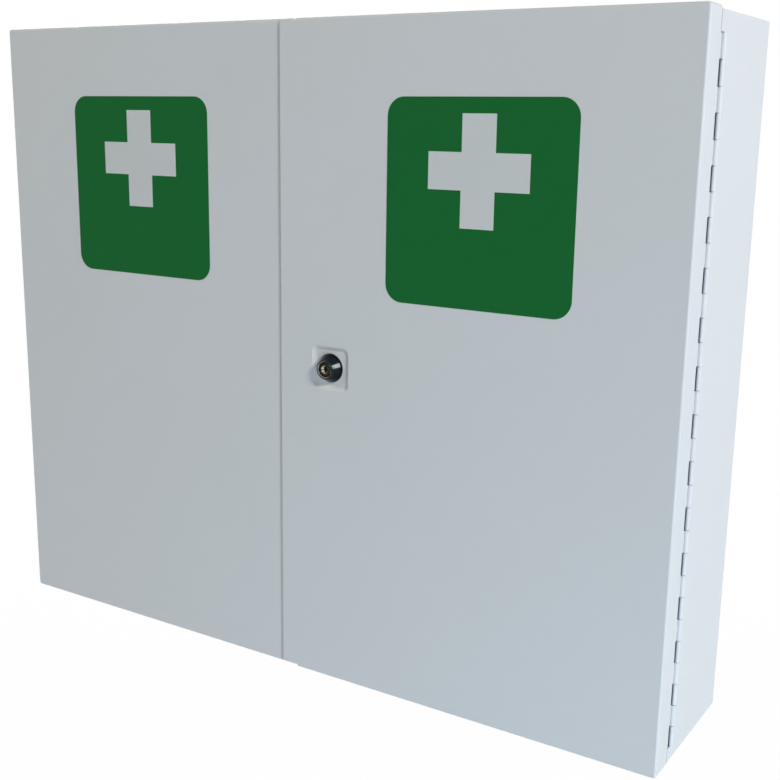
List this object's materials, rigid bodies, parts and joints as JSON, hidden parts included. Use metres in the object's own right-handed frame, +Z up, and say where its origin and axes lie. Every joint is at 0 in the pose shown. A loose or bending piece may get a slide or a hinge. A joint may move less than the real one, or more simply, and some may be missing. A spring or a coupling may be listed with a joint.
{
  "type": "first aid cabinet",
  "caption": "Shallow white steel wall cabinet with lapped double doors on continuous hinges, a cam lock in a pressed recess, slide bolts and shelves.",
  "frame": {"origin": "wall face of the back, at the middle of the four wall holes", "axes": "+X to the right seen from the front, +Y back into the wall, +Z up"},
  "size_m": [0.7732, 0.1675, 0.636],
  "materials": {
    "powder_coat": "white powder coat with a fine orange peel",
    "hinge_pin": "drawn wire",
    "lock_chrome": "polished dark nickel plate",
    "lock_brass": "dull brass, darkened",
    "zinc_plate": "bright zinc plate",
    "bolt_knob": "black moulded",
    "sign_vinyl": "satin printed vinyl"
  },
  "bodies": {
    "carcass": {"body_shell": "powder_coat", "top_panel": "powder_coat", "bottom_panel": "powder_coat", "upper_shelf": "powder_coat", "middle_shelf": "powder_coat", "lower_shelf": "powder_coat", "shelf_cleats": "powder_coat", "right_hinge_body_leaf": "powder_coat", "left_hinge_body_leaf": "powder_coat", "right_hinge_pin": "hinge_pin", "left_hinge_pin": "hinge_pin"},
    "right_door": {"right_door_panel": "powder_coat", "right_hinge_door_leaf": "powder_coat", "lock_body": "lock_chrome", "lock_washer": "zinc_plate", "lock_nut": "zinc_plate"},
    "left_door": {"left_door_panel": "powder_coat", "left_hinge_door_leaf": "powder_coat", "top_bolt_guides": "powder_coat", "bottom_bolt_guides": "powder_coat"},
    "lock_core": {"lock_plug": "lock_brass", "lock_cam": "zinc_plate", "cam_screw": "zinc_plate"},
    "top_slide_bolt": {"top_bolt": "zinc_plate", "top_bolt_knob": "bolt_knob"},
    "bottom_slide_bolt": {"bottom_bolt": "zinc_plate", "bottom_bolt_knob": "bolt_knob"}
  },
  "joints": [
    {"name": "right_door_hinge", "type": "hinge", "parent": "carcass", "child": "right_door", "pos_m": [0.3844, -0.12605, 0], "axis": [0, 0, 1], "range_deg": [0, 170]},
    {"name": "left_door_hinge", "type": "hinge", "parent": "carcass", "child": "left_door", "pos_m": [-0.3844, -0.12605, 0], "axis": [0, 0, -1], "range_deg": [0, 170]},
    {"name": "lock_turn", "type": "hinge", "parent": "right_door", "child": "lock_core", "pos_m": [0.041, -0.145, -0.001], "axis": [0, 1, 0], "range_deg": [0, 90]},
    {"name": "top_bolt_slide", "type": "slide", "parent": "left_door", "child": "top_slide_bolt", "axis": [0, 0, 1], "range_m": [0, 0.01]},
    {"name": "bottom_bolt_slide", "type": "slide", "parent": "left_door", "child": "bottom_slide_bolt", "axis": [0, 0, -1], "range_m": [0, 0.01]}
  ],
  "couplings": [
    {"joint": "left_door_hinge", "follows": "right_door_hinge", "ratio": 1}
  ]
}
